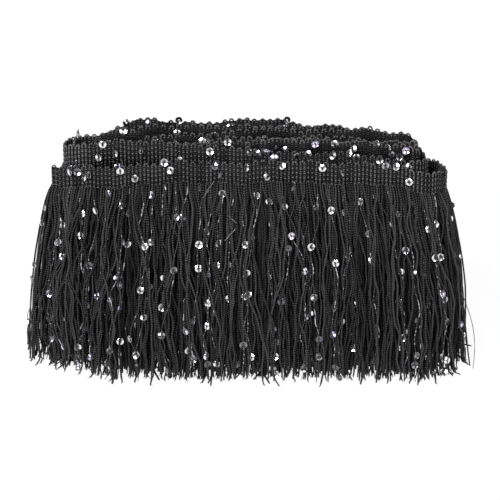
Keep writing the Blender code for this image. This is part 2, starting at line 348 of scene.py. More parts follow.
class Tape:
    """The wound tape in millimetres: places on it are found by their distance from the cut end."""

    def __init__(self):
        sizes = bpy.context.scene.fringe_sizes
        self.sizes = SimpleNamespace(**{key: getattr(sizes, key) / MM for key in sizes.__annotations__})
        self.heading_plan = tape_plan(0)
        self.floor_plan = tape_plan(1)
        self.tops = tape_tops(len(self.heading_plan))
        steps = np.linalg.norm(np.diff(self.heading_plan, axis=0), axis=1)
        self.distance = np.concatenate([[0.0], np.cumsum(steps)])
        tangent = unit(np.gradient(self.heading_plan, axis=0))
        self.outward = np.stack([tangent[:, 1], -tangent[:, 0]], axis=1)
        bearing = np.unwrap(np.arctan2(tangent[:, 1], tangent[:, 0]))
        self.turning = np.abs(np.gradient(bearing, self.distance))
        self.tops += wave(TOP_WAVES, self.distance)
        self.heading_plan += self.outward * wave(PLAN_WAVES, self.distance)[:, None]

    def read(self, columns, distance):
        """Columns with a value for each step of the tape, read at distances along it."""
        return np.stack([np.interp(distance, self.distance, column) for column in columns.T], axis=-1)

    def top(self, distance):
        """The height of the heading's upper edge."""
        return np.interp(distance, self.distance, self.tops)

    def root(self, distance):
        """The height of the heading's lower edge, where the strands start."""
        return self.top(distance) - self.sizes.heading_height

    def side(self, distance):
        """The level direction that points out of the coil."""
        return unit(self.read(self.outward, distance))

    def stretched(self, distance):
        """How far the band is drawn out: 1 round the first bend and at the cut end, and 0 along the rows."""
        fully, barely = CUT_END_DRAWN
        turning = np.interp(distance, self.distance, self.turning)
        in_bend = ease((turning - GENTLE_TURNING) / BEND_TURNING) * (distance < self.end_of(0, 1.0))
        return np.maximum(in_bend, ease((barely - distance) / (barely - fully)))

    def bent(self, distance):
        """1 round a bend and 0 along the rows."""
        return ease(np.interp(distance, self.distance, self.turning) / BEND_TURNING)

    def foot_of(self, distance):
        """Where on the tape a strand comes down: the cut end's flare fades as e to the −distance / length."""
        row, flare = self.end_of(0, 0.0), CUT_END_X[0] - CUT_END_X[1]
        flared = (distance + flare * (1.0 - np.exp(-distance / FLARE_LENGTH))) * row / (row + flare)
        return np.where(distance < row, flared, distance)

    def plan(self, distance, fall):
        """The place from above at a fall of 0 at the heading's lower edge to 1 at the floor."""
        high = self.read(self.heading_plan, distance)
        low = self.read(self.floor_plan, self.foot_of(distance))
        return high + (low - high) * (np.sin(np.pi / 2 * fall) ** FALL_POWER)[..., None]

    def end_of(self, row, bend_share):
        """The distance at a share of the bend after a row: 0 where the row ends, 1 where the next starts."""
        step = (row + 1) * ROW_STEPS + (row + bend_share) * BEND_STEPS
        return float(np.interp(step, np.arange(len(self.distance)), self.distance))

    def along_row(self, row, x):
        """The distances along the tape at which rows are at x. Every other row runs to the left."""
        found = np.zeros(len(x))
        for index in np.unique(row).astype(int):
            first, here = index * (ROW_STEPS + BEND_STEPS), row == index
            steps = np.arange(first, first + ROW_STEPS)
            if index % 2:
                steps = steps[::-1]
            found[here] = np.interp(x[here], self.heading_plan[steps, 0], self.distance[steps])
        return found

    def place(self, distance, height, out):
        """Points at heights above the floor and distances out of the tape's middle, and their sides."""
        fall = np.clip(1.0 - height / self.root(distance), 0.0, 1.0)
        side = self.side(distance)
        flat = self.plan(distance, fall) + side * out[..., None]
        level = np.zeros(side.shape[:-1] + (1,))
        return np.concatenate([flat, height[..., None]], axis=-1), np.concatenate([side, level], axis=-1)

    def columns(self, first, last, share=1):
        """The distances along the tape, between two places, of the knitted columns or of shares of them."""
        pitch = self.sizes.strand_pitch / share
        middles = pitch * (np.arange(int(TAPE_LENGTH / pitch)) + 0.5)
        return middles[(middles >= first) & (middles < last)]


# Meshes


# The order of a face's corners that turns it over and keeps its first one
FACING_BACK = [0, 3, 2, 1]


def ring_faces(index):
    """Four-sided faces between the neighbouring rings of some corners, whose last axis goes round a ring."""
    around = np.roll(index, -1, axis=-1)
    walls = (index[..., :-1, :], around[..., :-1, :], around[..., 1:, :], index[..., 1:, :])
    return np.stack(walls, axis=-1)


def tubes(points, outward, radius, sides, shade):
    """Closed tubes round centre lines: an array of lines, each of the same number of points.

    A ring's corners are point + radius · (cos a · n + sin a · b) for angles a a full turn round. The
    direction n is outward less its part along the line, and b is the line's direction crossed with n.
    """
    lines, steps = points.shape[:2]
    tangent = unit(np.gradient(points, axis=1))
    normal = unit(outward - tangent * np.sum(outward * tangent, axis=-1, keepdims=True))
    binormal = np.cross(tangent, normal)
    angle = 2 * np.pi * np.arange(sides) / sides
    spoke = np.cos(angle)[:, None] * normal[:, :, None] + np.sin(angle)[:, None] * binormal[:, :, None]
    corners = points[:, :, None] + radius[:, :, None, None] * spoke

    index = np.arange(lines * steps * sides).reshape(lines, steps, sides)
    walls = ring_faces(index)
    caps = (index[:, 0, ::-1].ravel(), index[:, -1].ravel())

    run = np.linalg.norm(np.diff(points, axis=1), axis=-1)
    run = np.concatenate([np.zeros((lines, 1)), np.cumsum(run, axis=1)], axis=1)
    around = np.arange(sides + 1) / sides
    turn = np.stack([around[:-1], around[1:], around[1:], around[:-1]], axis=-1)
    length = np.stack([run[:, :-1], run[:, :-1], run[:, 1:], run[:, 1:]], axis=-1)
    wall_uv = np.stack(np.broadcast_arrays(turn, length[:, :, None]), axis=-1)
    cap_uv = np.zeros((2 * lines * sides, 2))
    return {
        "points": corners.reshape(-1, 3),
        "corners": np.concatenate([walls.ravel(), *caps]),
        "counts": np.concatenate([np.full(walls.size // 4, 4), np.full(2 * lines, sides)]),
        "uv": np.concatenate([wall_uv.reshape(-1, 2), cap_uv]),
        "shade": np.repeat(np.broadcast_to(shade, (lines, steps)).ravel(), sides),
    }


def joined(parts):
    """Several batches of faces as one, with each batch's corners counted on from the last."""
    firsts = np.cumsum([0] + [len(part["points"]) for part in parts[:-1]])
    whole = {key: np.concatenate([part[key] for part in parts]) for key in parts[0]}
    whole["corners"] = np.concatenate([part["corners"] + first for part, first in zip(parts, firsts)])
    return whole


def linked(name, data):
    """A new object of the scene for a mesh, light or camera."""
    thing = bpy.data.objects.new(name, data)
    bpy.context.scene.collection.objects.link(thing)
    return thing


def mesh_piece(name, faces, material):
    """A smooth mesh object in metres, riding on the coil, from a batch of faces in millimetres."""
    mesh = bpy.data.meshes.new(name)
    mesh.vertices.add(len(faces["points"]))
    mesh.vertices.foreach_set("co", (faces["points"] * MM).astype(np.float32).ravel())
    mesh.loops.add(len(faces["corners"]))
    mesh.loops.foreach_set("vertex_index", faces["corners"].astype(np.int32))
    mesh.polygons.add(len(faces["counts"]))
    starts = np.cumsum(faces["counts"]) - faces["counts"]
    mesh.polygons.foreach_set("loop_start", starts.astype(np.int32))
    mesh.update(calc_edges=True)
    mesh.shade_smooth()
    mesh.uv_layers.new(name="yarn").data.foreach_set("uv", faces["uv"].astype(np.float32).ravel())
    shade = mesh.attributes.new("shade", "FLOAT", "POINT")
    shade.data.foreach_set("value", faces["shade"].astype(np.float32))
    mesh.materials.append(material)
    piece = linked(name, mesh)
    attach(piece, "root")
    return piece


# Hanging yarns


def locks_of(rng, count, sizes):
    """The lock that each yarn belongs to: runs of neighbours of random size."""
    return np.repeat(np.arange(count), rng.integers(sizes[0], sizes[1] + 1, count))[:count]


class HangingYarns:
    """Yarns side by side on the tape. A point on one is found by its run, the length of yarn above it.

    With h the height that is left, h = drop − run, the yarn's height is (h + √(h² + b²)) / 2, where b is
    the bend at its toe, and (−h + √(h² + b²)) / 2 of it lies outwards on the floor. On the way down it
    moves along the tape by its lock's pull, its lock's lean, its own crimp and any stray crossing, and in
    and out by slow waves and its own depth.
    """

    def __init__(self, tape, start, thickness, hang, seed):
        rng = np.random.default_rng(seed)
        count = len(start)
        # How unevenly the yarns are spaced, and how far out of line whole locks and strays stand
        spacing, lock_out, stray_out = 0.3, 1.2, 0.9
        start = start + rng.uniform(-spacing, spacing, count)

        def each(low, high):
            return rng.uniform(low, high, (count, 1))

        def each_lock(low, high):
            return rng.uniform(low, high, count)[lock][:, None]

        self.tape = tape
        self.start = start[:, None]
        self.thickness = thickness
        self.drop = tape.root(self.start)
        lock = locks_of(rng, count, hang.lock)
        broad = locks_of(rng, count, BROAD_LOCK)
        self.centre = (np.bincount(lock, start) / np.bincount(lock))[lock][:, None]
        self.broad_centre = (np.bincount(broad, start) / np.bincount(broad))[broad][:, None]
        self.pull = each_lock(*hang.pull)
        self.broad_pull = rng.uniform(0.0, BROAD_PULL * hang.pull[1], count)[broad][:, None]
        self.closed_at = each_lock(*CLOSED_AT)
        self.kept = each_lock(*KEPT_AT_FOOT)
        self.waves = []
        for draw, reach, parts in ((each_lock, hang.lean, LEAN_WAVES), (each, hang.crimp, CRIMP_WAVES)):
            for k, share in parts:
                self.waves.append((draw(-1.0, 1.0) * reach * share, k, draw(0.0, 2 * np.pi)))
        is_stray = each(0.0, 1.0) < hang.stray
        self.stray = is_stray * rng.choice([-1, 1], (count, 1)) * each(*STRAY_REACH)
        self.stray_from = each(*STRAY_FROM)
        self.stray_over = each(*STRAY_OVER)
        self.rank = rng.normal(0.0, hang.spread, (count, 1)) + stray_out * is_stray
        self.proud = hang.proud + each_lock(-lock_out, lock_out)
        self.behind = min(hang.proud, 0.0) * 0.6
        self.toe_turn = rng.normal(0.0, TOE_TURN, (count, 1))
        self.ends(rng, count, lock, hang)

    def ends(self, rng, count, lock, hang):
        """Each yarn's length: most are a little longer than their drop, and some well short or long."""
        uneven_locks, uneven_yarns = 0.9, 1.0
        more = rng.normal(0.0, uneven_locks, count)[lock] + rng.normal(hang.laid, uneven_yarns, count)
        kind = rng.uniform(0.0, 1.0, count)
        more = more + np.where(kind < LONG_SHARE, rng.uniform(0.2, 1.0, count) * hang.longer, 0.0)
        more = more - np.where(kind > 1.0 - SHORT_SHARE, rng.uniform(*SHORT_BY, count), 0.0)
        self.length = self.drop + more[:, None]

    def sway(self, fall):
        """The move along the tape."""
        closing = ease(fall / self.closed_at)
        opening = ease((fall - self.closed_at) / (1.0 - self.closed_at))
        together = closing * (1.0 - (1.0 - self.kept) * opening)
        moved = self.pull * (self.centre - self.start) * together
        moved = moved + self.broad_pull * (self.broad_centre - self.start) * closing
        for height, k, phase in self.waves:
            moved = moved + height * (np.sin(np.pi * k * fall + phase) - np.sin(phase)) * ease(8 * fall)
        moved = moved + self.stray * ease((fall - self.stray_from) / self.stray_over)
        moved = moved + wave(SWAY_WAVES, self.start) * np.sin(np.pi / 2 * fall)
        ends = np.minimum(self.start, TAPE_LENGTH - self.start)
        return moved * np.clip(ends / TAPE_END_HELD, 0.0, 1.0)

    def depth(self, fall):
        """The move out of the coil."""
        swung = wave(DEPTH_WAVES, self.start) + self.proud + self.rank
        return swung * np.sin(np.pi / 2 * fall) + 0.4 * self.rank + self.behind

    def points(self, run):
        """Places in millimetres, and the direction that each tube's first corner faces."""
        left = self.drop - run
        rise = (left + np.sqrt(left**2 + TOE_BEND**2)) / 2
        laid = rise - left
        fall = np.clip(1.0 - rise / self.drop, 0.0, 1.0)
        at = self.start + self.sway(fall)
        side = self.tape.side(at)
        along = np.stack([-side[..., 1], side[..., 0]], axis=-1)
        out = self.depth(fall) + laid * np.cos(self.toe_turn)
        flat = self.tape.plan(at, fall) + side * out[..., None]
        flat = flat + along * (laid * np.sin(self.toe_turn))[..., None]
        lying = 3.0 * laid / (laid + rise)
        points = np.concatenate([flat, (self.thickness + rise)[..., None]], axis=-1)
        return points, np.concatenate([side, lying[..., None]], axis=-1)

    def tubes(self, steps, sides, seed):
        """The yarns as tubes, uneven in thickness, drawn in at both ends, and lighter near the floor: painted
        light where their ends catch the light.
        """
        rng = np.random.default_rng(seed)
        swelling, drawn_in, toe_height = 0.06, 0.28, 3.0
        share = np.linspace(0.0, 1.0, steps)
        run = self.length * share
        points, outward = self.points(run)
        count = len(points)
        each_wave = (count, len(SWELL_WAVES), 1)
        heights, phases = rng.uniform(-1.0, 1.0, each_wave), rng.uniform(0, 6.3, each_wave)
        uneven = heights * np.sin(np.pi * SWELL_WAVES * share + phases)
        swell = 1.0 + swelling * uneven.sum(axis=1)
        ends = 1.0 - drawn_in + drawn_in * ease(share * steps / 2) * ease((1.0 - share) * steps / 2)
        radius = self.thickness * rng.uniform(0.88, 1.1, (count, 1)) * swell * ends
        # Painted light: the ends are lighter near the floor, where they catch the light
        painted_light_near_floor = rng.uniform(0.0, 1.5, (count, 1)) * ease((run - self.drop + toe_height) / 4.0)
        return tubes(points, outward, radius, sides, rng.uniform(-0.4, 1.3, (count, 1)) + painted_light_near_floor)

    def frayed_ends(self, each, seed):
        """Fine fibres that run on past each yarn's cut end and fan out by the share along them squared."""
        rng = np.random.default_rng(seed)
        count, share = len(self.start), np.linspace(0.0, 1.0, 5)
        inside, reach = 1.5, rng.uniform(0.3, 1.4, (count, each, 1))
        run = self.length[:, None] - inside + (reach + inside) * share
        points, outward = self.points(run.reshape(count, -1))
        lines = (count * each, len(share), 3)
        points, outward = points.reshape(lines), outward.reshape(lines)
        along = np.stack([-outward[..., 1], outward[..., 0]], axis=-1)
        fan = rng.uniform(-0.5, 0.5, (count * each, 1)) * (1.0 - share)
        fan = fan + rng.normal(0.0, 0.7, (count * each, 1)) * share**2
        points[..., :2] += along * fan[..., None]
        points[..., 2] -= (self.thickness - 0.2) * share
        radius = rng.uniform(0.24, 0.4, (count * each, 1)) * (1.0 - 0.4 * share)
        # Painted light: the fine fibres get a high shade, as where they catch the light
        return tubes(points, outward, radius, 3, rng.uniform(0.6, 2.2, (count * each, 1)))


# Materials


def add_node(tree, kind, settings=None, inputs=None):
    """A shader node with its settings, and its inputs each set to a value or linked from a node or socket."""
    node = tree.nodes.new(kind)
    for key, value in (settings or {}).items():
        setattr(node, key, value)
    for key, value in (inputs or {}).items():
        source = value.outputs[0] if isinstance(value, bpy.types.Node) else value
        if isinstance(source, bpy.types.NodeSocket):
            tree.links.new(source, node.inputs[key])
        else:
            node.inputs[key].default_value = source
    return node


def new_material(name, finish, **settings):
    """A material whose shader has the inputs that a finish works out in its node tree."""
    material = bpy.data.materials.new(name)
    material.use_nodes = True
    tree = material.node_tree
    tree.nodes.clear()
    shader = add_node(tree, "ShaderNodeBsdfPrincipled", inputs=finish(tree, **settings))
    add_node(tree, "ShaderNodeOutputMaterial", inputs={"Surface": shader})
    return material


def shaded(colour, share=1.0):
    """A share of a linear colour, with its alpha."""
    return tuple(channel * share for channel in colour) + (1.0,)


def knitted_yarn(tree, colour, stitch, gloss, sheen, relief):
    """Dyed viscose yarn: black with a soft silky lift at its edges, and small slanting stitches.

    The stitches come from sin 2π(v / stitch + slope · |2u − 1|), which makes a v shape at each stitch, with
    its point on the side that faces outwards. They are drawn coarser than the real ones, which would be
    Each strand has its own shade, which also carries the painted light and shade that each piece
    gives it, and slow patches go over all of them. The stitches' wave lightens the colour on the loops
    and darkens it in the grooves: a painted highlight and painted shade over the relief.
    """
    slope, depth, patch = 0.35, 0.15 * MM, 28.0 * MM
    darkest, palest = 0.03, 2.9
    uv = add_node(tree, "ShaderNodeUVMap", {"uv_map": "yarn"})
    parts = add_node(tree, "ShaderNodeSeparateXYZ", inputs={0: uv})
    steps = add_node(tree, "ShaderNodeMath", {"operation": "DIVIDE"}, {0: parts.outputs["Y"], 1: stitch})
    fold = add_node(
        tree, "ShaderNodeMath", {"operation": "MULTIPLY_ADD"}, {0: parts.outputs["X"], 1: 2.0, 2: -1.0}
    )
    aside = add_node(tree, "ShaderNodeMath", {"operation": "ABSOLUTE"}, {0: fold})
    slant = add_node(tree, "ShaderNodeMath", {"operation": "MULTIPLY_ADD"}, {0: aside, 1: slope, 2: steps})
    angle = add_node(tree, "ShaderNodeMath", {"operation": "MULTIPLY"}, {0: slant, 1: 2 * np.pi})
    loops = add_node(tree, "ShaderNodeMath", {"operation": "SINE"}, {0: angle})
    bump = add_node(tree, "ShaderNodeBump", inputs={"Strength": relief, "Distance": depth, "Height": loops})
    shade = add_node(tree, "ShaderNodeAttribute", {"attribute_name": "shade"})
    place = add_node(tree, "ShaderNodeTexCoord")
    patches = add_node(
        tree, "ShaderNodeTexNoise", inputs={"Vector": place.outputs["Object"], "Scale": 1.0 / patch}
    )
    even = add_node(tree, "ShaderNodeMath", {"operation": "ADD"}, {0: shade.outputs["Fac"], 1: patches})
    # The stitches' wave also sets the colour: painted highlight on the loops and painted shade in the grooves
    deep = add_node(tree, "ShaderNodeMath", {"operation": "MULTIPLY_ADD"}, {0: loops, 1: 0.9, 2: even})
    tone = add_node(tree, "ShaderNodeMapRange", inputs={"Value": deep, "From Min": 0.0, "From Max": 2.0})
    mix = add_node(
        tree, "ShaderNodeMix", {"data_type": "RGBA"},
        {"Factor": tone, "A": shaded(colour, darkest), "B": shaded(colour, palest)},
    )
    return {
        "Base Color": mix.outputs[2],
        "Roughness": 0.42,
        "IOR": 1.47,
        "Specular IOR Level": gloss,
        "Sheen Weight": sheen,
        "Sheen Roughness": 0.4,
        "Normal": bump,
    }


def filament_yarn(tree, colour, fleck):
    """Fine filament yarn: dark grey, with painted glints: bright specks painted along stretches, where a
    glittering yarn would turn to the light.
    """
    stretch, glint = 11.0 * MM, 1.7 * MM
    place = add_node(tree, "ShaderNodeTexCoord")
    stretches, flecks = (
        add_node(
            tree, "ShaderNodeTexNoise",
            inputs={"Vector": place.outputs["Object"], "Scale": 1.0 / size, "Detail": 1.0},
        )
        for size in (stretch, glint)
    )
    # Painted glints: light specks where both noises are high
    bright = add_node(tree, "ShaderNodeMath", {"operation": "ADD"}, {0: stretches, 1: flecks})
    share = add_node(tree, "ShaderNodeMapRange", inputs={"Value": bright, "From Min": 1.07, "From Max": 1.3})
    mix = add_node(
        tree, "ShaderNodeMix", {"data_type": "RGBA"},
        {"Factor": share, "A": shaded(colour), "B": shaded(fleck)},
    )
    return {"Base Color": mix.outputs[2], "Roughness": 0.6, "IOR": 1.5, "Specular IOR Level": 0.3}


def sequin_film(tree, silver, smoke, violet):
    """Silvered polyester film, pressed into cups: mirror-like, some clear and dim, a few violet."""
    shade = add_node(tree, "ShaderNodeAttribute", {"attribute_name": "shade"})
    ramp = add_node(tree, "ShaderNodeValToRGB", inputs={"Fac": shade.outputs["Fac"]})
    ramp.color_ramp.interpolation = "LINEAR"
    ramp.color_ramp.elements[0].color = shaded(smoke)
    ramp.color_ramp.elements[1].color = shaded(violet)
    for place in (0.5, 0.88):
        ramp.color_ramp.elements.new(place).color = shaded(silver)
    return {"Base Color": ramp, "Metallic": 0.95, "Roughness": 0.18}


def plain_paper(tree, colour):
    """Matt white paper roll: pale and even, with a little light of its own to stay near white."""
    return {
        "Base Color": shaded(colour, 0.1),
        "Roughness": 0.9,
        "Specular IOR Level": 0.1,
        "Emission Color": shaded(colour),
        "Emission Strength": 0.95,
    }


# Sizes and colours that a user may change


def length_property(name, description, default_mm):
    """A size that a user may change, given in millimetres."""
    return FloatProperty(
        name=name, description=description, default=default_mm * MM, min=0.0,
        unit="LENGTH", subtype="DISTANCE",
    )


def power_property(name, description, default):
    """A light's power that a user may change."""
    return FloatProperty(name=name, description=description, default=default, unit="POWER")


def colour_property(name, description, hex_colour):
    """A colour that a user may change."""
    return FloatVectorProperty(
        name=name, description=description, default=linear_of(hex_colour), min=0.0, max=1.0, subtype="COLOR"
    )


class FringeSizes(PropertyGroup):
    """The sizes of the trim's yarns and sequins."""

    heading_height: length_property("Heading height", "Height of the knitted band", 14.5)
    strand_pitch: length_property("Strand pitch", "Distance between neighbouring strands", 2.4)
    strand_width: length_property("Strand width", "Thickness of a chainette strand", 1.15)
    bead_height: length_property("Stitch height", "Height of one knitted stitch of the heading", 3.1)
    carrier_width: length_property("Carrier width", "Thickness of the yarn that carries sequins", 0.55)
    sequin_width: length_property("Sequin width", "Width of a 5 mm cup sequin once it is pressed", 4.7)
    sequin_gap: length_property("Sequin gap", "Mean distance between sequins on a carrier yarn", 25.0)


class FringeColours(PropertyGroup):
    """The colours of the trim and the studio."""

    heading: colour_property("Heading", "Colour of the knitted heading's yarn", "313132")
    # The ground band is painted near black: painted shade in the gaps between the heading's stitches
    ground: colour_property("Ground", "Colour of the band behind the heading's stitches", "0b0b0b")
    strands: colour_property("Strands", "Colour of the outer strands", "202021")
    # A little darker than the outer strands: painted shade for the inner laps
    inner: colour_property("Inner strands", "Colour of the inner laps' strands", "1c1c1d")
    carrier: colour_property("Carrier", "Colour of the carrier yarn", "2c2c2e")
    # A painted glint: the colour the carrier yarn and loose threads are painted where they would glitter
    fleck: colour_property("Carrier fleck", "Colour of the carrier yarn where it glitters", "a6a6ac")
    thread: colour_property("Loose threads", "Colour of the loose threads", "58585b")
    silver: colour_property("Sequins", "Colour of most sequins", "f0f0f2")
    smoke: colour_property("Clear sequins", "Colour of the dim, clear sequins", "66666a")
    violet: colour_property("Violet sequins", "Colour of the few violet sequins", "b6a6cc")
    floor: colour_property("Floor", "Colour of the studio floor", "f7f7f7")


class FringeStudio(PropertyGroup):
    """The camera and the lights."""

    elevation: FloatProperty(
        name="Camera elevation", description="How far the camera looks down", default=np.radians(27.0),
        unit="ROTATION", subtype="ANGLE",
    )
    distance: length_property("Camera distance", "From the camera to the coil", 1500.0)
    sky: FloatProperty(name="Room light", description="Strength of the light from all round", default=0.08)
    key: power_property("Key light", "Power of the large front light", 70.0)
    fill: power_property("Fill light", "Power of the second front light", 14.0)
    back: power_property("Back lights", "Power of each rear light", 20.0)


# The pieces


def loose_yarns(tape, table, radius):
    """Each runs evenly from start to end and top to bottom, out by clear + bow · sin(π t) + flare · t²."""
    rng, share = np.random.default_rng(41), np.linspace(0.0, 1.0, 16)
    clear, wander = 2.2, 0.4
    start, top, end, bottom, bow, flare = np.array(table).T[:, :, None]
    wandered = rng.uniform(-wander, wander, start.shape) * np.sin(3 * np.pi * share)
    distance = start + (end - start) * share + wandered
    out = clear + bow * np.sin(np.pi * share) + flare * share**2
    points, outward = tape.place(distance, top + (bottom - top) * share, out)
    return tubes(points, outward, np.full(distance.shape, radius), 4, rng.uniform(0.3, 1.0, start.shape))


class FRINGE_OT_heading(Operator):
    """Knits the heading: a loop for every two columns, on a ground band."""

    bl_idname = "fringe.heading"
    bl_label = "Knit the heading"

    def loops(self, tape, starts, rng, sides, painted_shade_below):
        """Each loop goes up one column, over a half round arch and down the next.

        A column's radius is neck + swell · cos²(π d / stitch), which swells to a bead at every stitch, where
        d is the distance from the top bead's middle. The arch is half an ellipse, a pitch wide and arch_rise
        high. The nearer to the top, the more freely a loop stands out of line. The shade is painted light and
        shade: a painted highlight on each bead and painted shade at each neck, rising with the radius;
        painted shade from the arches down by the last argument, where the next lap is close, with the arches
        a little lighter; and painted light round a bend.
        """
        pitch, stitch, height = tape.sizes.strand_pitch, tape.sizes.bead_height, tape.sizes.heading_height
        arch_rise, arch_below, arch_radius, arch_steps = 1.2, 2.0, 0.6, 5
        neck, swell, bead_top, bead_below = 0.4, 0.4, 2.1, 2.4
        tuck, leg_steps, free_height = 0.3, 19, 4.0
        leg = np.linspace(0.0, 1.0, leg_steps)
        turn = np.linspace(0.0, np.pi, arch_steps + 2)[1:-1]
        leg_depth = height + tuck + (arch_below - height - tuck) * leg
        depth = np.concatenate([leg_depth, arch_below - arch_rise * np.sin(turn), leg_depth[::-1]])
        across = np.concatenate([np.zeros(leg_steps), 0.5 - 0.5 * np.cos(turn), np.ones(leg_steps)])
        bead = neck + swell * np.cos(np.pi * (depth - bead_below) / stitch) ** 2
        radius = np.where(depth < bead_top, arch_radius, bead)
        free = ease((free_height - depth) / free_height)
        left = starts[0::2][:, None]

        def uneven(spread):
            return rng.normal(0.0, spread, left.shape)

        distance = left + pitch * across + uneven(0.28) * free
        out = uneven(0.16) + uneven(0.4) * free
        points, outward = tape.place(distance, tape.top(distance) - depth + uneven(0.25) * free, out)
        thick = radius * rng.uniform(0.92, 1.1, left.shape) * (1.0 - 0.3 * tape.stretched(distance))
        # Painted highlight on each bead and painted shade at each neck, rising with the radius
        shade = rng.uniform(0.1, 0.8, left.shape) + 2.6 * (radius - arch_radius)
        # Painted shade from the arches down where the next lap is close, lighter arches, and painted light
        # round the bends
        shade = shade + painted_shade_below * (0.2 - ease((depth - 1.5) / 4.5)) + 0.9 * tape.bent(distance)
        return tubes(points, outward, thick, sides, shade)

    def ground(self, tape):
        """A thin band along the tape's middle: a ring of four corners carried along it."""
        # Its material is painted near black: a dark sheet that gives painted shade between the stitches
        half_thickness, edge_below, height = 0.25, 1.6, tape.sizes.heading_height
        distance = np.linspace(1.0, TAPE_LENGTH - 1.0, 900)
        rings = []
        for side, below in ((1, height), (1, edge_below), (-1, edge_below), (-1, height)):
            out = np.full(distance.shape, side * half_thickness)
            rings.append(tape.place(distance, tape.top(distance) - below, out)[0])
        corners = np.stack(rings, axis=1)
        index = np.arange(corners.size // 3).reshape(len(distance), len(rings))
        walls = ring_faces(index)[..., FACING_BACK]
        caps = np.stack([index[0], index[-1][::-1]])
        return {
            "points": corners.reshape(-1, 3),
            "corners": np.concatenate([walls.ravel(), caps.ravel()]),
            "counts": np.full(walls.size // 4 + 2, 4),
            "uv": np.zeros((walls.size + caps.size, 2)),
            "shade": np.zeros(corners.size // 3),
        }

    def threads(self, tape, rng):
        """Two fine threads at each gap between stitches, one in front and one behind.

        A thread lies at deep − dip · cos(2π s / pitch) from the middle, so that it dips between columns.
        Round a bend the stitches part, and the threads stand out as ribs, twice as thick. The threads are
        painted darker than the stitches, as painted shade in the gaps, and lighter on the ribs, as painted
        light where they stand out.
        """
        pitch, stitch = tape.sizes.strand_pitch, tape.sizes.bead_height
        deep, dip, rib_out, fineness = 0.35, 0.1, 0.3, 0.22
        gaps = 2.5 + stitch * np.array([0.5, 1.5, 2.5, 3.4])
        face, below = np.repeat([1, -1], len(gaps))[:, None], np.tile(gaps, 2)[:, None]
        distance = np.arange(1.0, TAPE_LENGTH - 1.0, pitch / 2)
        distance = np.broadcast_to(distance, (len(face), len(distance)))
        wander = 0.15 * np.sin(distance / 3.1 + 9 * below)
        rib = tape.stretched(distance)
        out = face * (deep + dip * np.cos(2 * np.pi * distance / pitch + np.pi) + rib_out * rib)
        points, outward = tape.place(distance, tape.top(distance) - below + wander, out)
        # Painted shade: darker than the stitches in the gaps, with painted light on the ribs round a bend
        shade = rng.uniform(-0.4, -0.1, face.shape) + rib
        return tubes(points, outward * face[..., None], fineness + fineness * rib, 3, shade)

    def execute(self, context):
        sizes, colours = context.scene.fringe_sizes, context.scene.fringe_colours
        tape, rng = Tape(), np.random.default_rng(11)
        yarn = new_material(
            "heading_viscose_yarn", knitted_yarn, colour=colours.heading,
            stitch=1.5, gloss=0.05, sheen=0.01, relief=0.9,
        )
        # A near black copy of the heading's yarn: painted shade behind the stitches
        painted_shade_band = new_material(
            "ground_viscose_yarn", knitted_yarn, colour=colours.ground,
            stitch=1.3, gloss=0.02, sheen=0.0, relief=0.3,
        )
        ground = mesh_piece("heading_ground", self.ground(tape), painted_shade_band)
        starts = tape.columns(0.0, TAPE_LENGTH)
        shown = 2 * int(tape.end_of(2, 1.0) / tape.sizes.strand_pitch / 2)
        # The outer loops get no painted shade below their arches, and the inner laps' loops get it
        outer = self.loops(tape, starts[:shown], rng, sides=6, painted_shade_below=0.0)
        inner = self.loops(tape, starts[shown:], rng, sides=5, painted_shade_below=1.8)
        mesh_piece("heading_loops_outer", outer, yarn)
        mesh_piece("heading_loops_inner", inner, yarn)
        mesh_piece("heading_threads", self.threads(tape, rng), yarn)
        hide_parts("heading")
        return {"FINISHED"}


class FRINGE_OT_strands(Operator):
    """Hangs the chainette strands of the outer lap and of the inner laps."""

    bl_idname = "fringe.strands"
    bl_label = "Hang the strands"

    def execute(self, context):
        colours, tape = context.scene.fringe_colours, Tape()
        thickness = tape.sizes.strand_width / 2
        split, outer_end = tape.end_of(0, 0.5), tape.end_of(1, 1.0)
        outer_yarn = new_material(
            "viscose_chainette", knitted_yarn, colour=colours.strands,
            stitch=1.55, gloss=0.12, sheen=0.05, relief=0.9,
        )
        # A darker, less glossy copy of the strands' material: painted shade for the inner laps
        inner_yarn_painted_shade = new_material(
            "inner_viscose_chainette", knitted_yarn, colour=colours.inner,
            stitch=1.55, gloss=0.08, sheen=0.02, relief=0.5,
        )
        halves = (("front", "front_fringe", 0.0, split), ("back", "back_fringe", split, outer_end))
        for name, node, first, last in halves:
            front_starts, rear_starts = tape.columns(first, last, 1.45), tape.columns(first, last, 2)
            front = HangingYarns(tape, front_starts, thickness, FRONT_HANG, seed=21)
            rear = HangingYarns(tape, rear_starts, thickness, REAR_HANG, seed=25)
            # A dark fill of thick strands, painted shade that fills the coil's inside where there is only
            # shade
            fill = HangingYarns(tape, rear_starts, 2.2 * thickness, DARK_FILL_HANG, seed=28)
            layers = [
                front.tubes(steps=48, sides=5, seed=23),
                rear.tubes(steps=34, sides=4, seed=27),
                fill.tubes(steps=16, sides=3, seed=24),
                front.frayed_ends(2, seed=22),
                rear.frayed_ends(1, seed=26),
            ]
            # Painted shade: the rear layer and the fill are painted darker than the front strands
            layers[1]["shade"] -= 0.9
            layers[2]["shade"] -= 1.0
            if name == "front":
                layers.append(loose_yarns(tape, LOOSE_STRANDS, 0.9 * thickness))
            strands = mesh_piece(name + "_strands", joined(layers), outer_yarn)
            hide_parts(node)
        inner_starts = tape.columns(outer_end, TAPE_LENGTH)
        inner = HangingYarns(tape, inner_starts, 1.3 * thickness, INNER_HANG, seed=29)
        tubes_inside = inner.tubes(steps=18, sides=5, seed=30)
        inner_strands = mesh_piece("inner_strands", tubes_inside, inner_yarn_painted_shade)
        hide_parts("wound_skirt")
        return {"FINISHED"}


# A sequin's corners round each ring, and the rings of its profile: three in front and three behind
SEQUIN_SEGMENTS = 12
SEQUIN_RINGS = 6


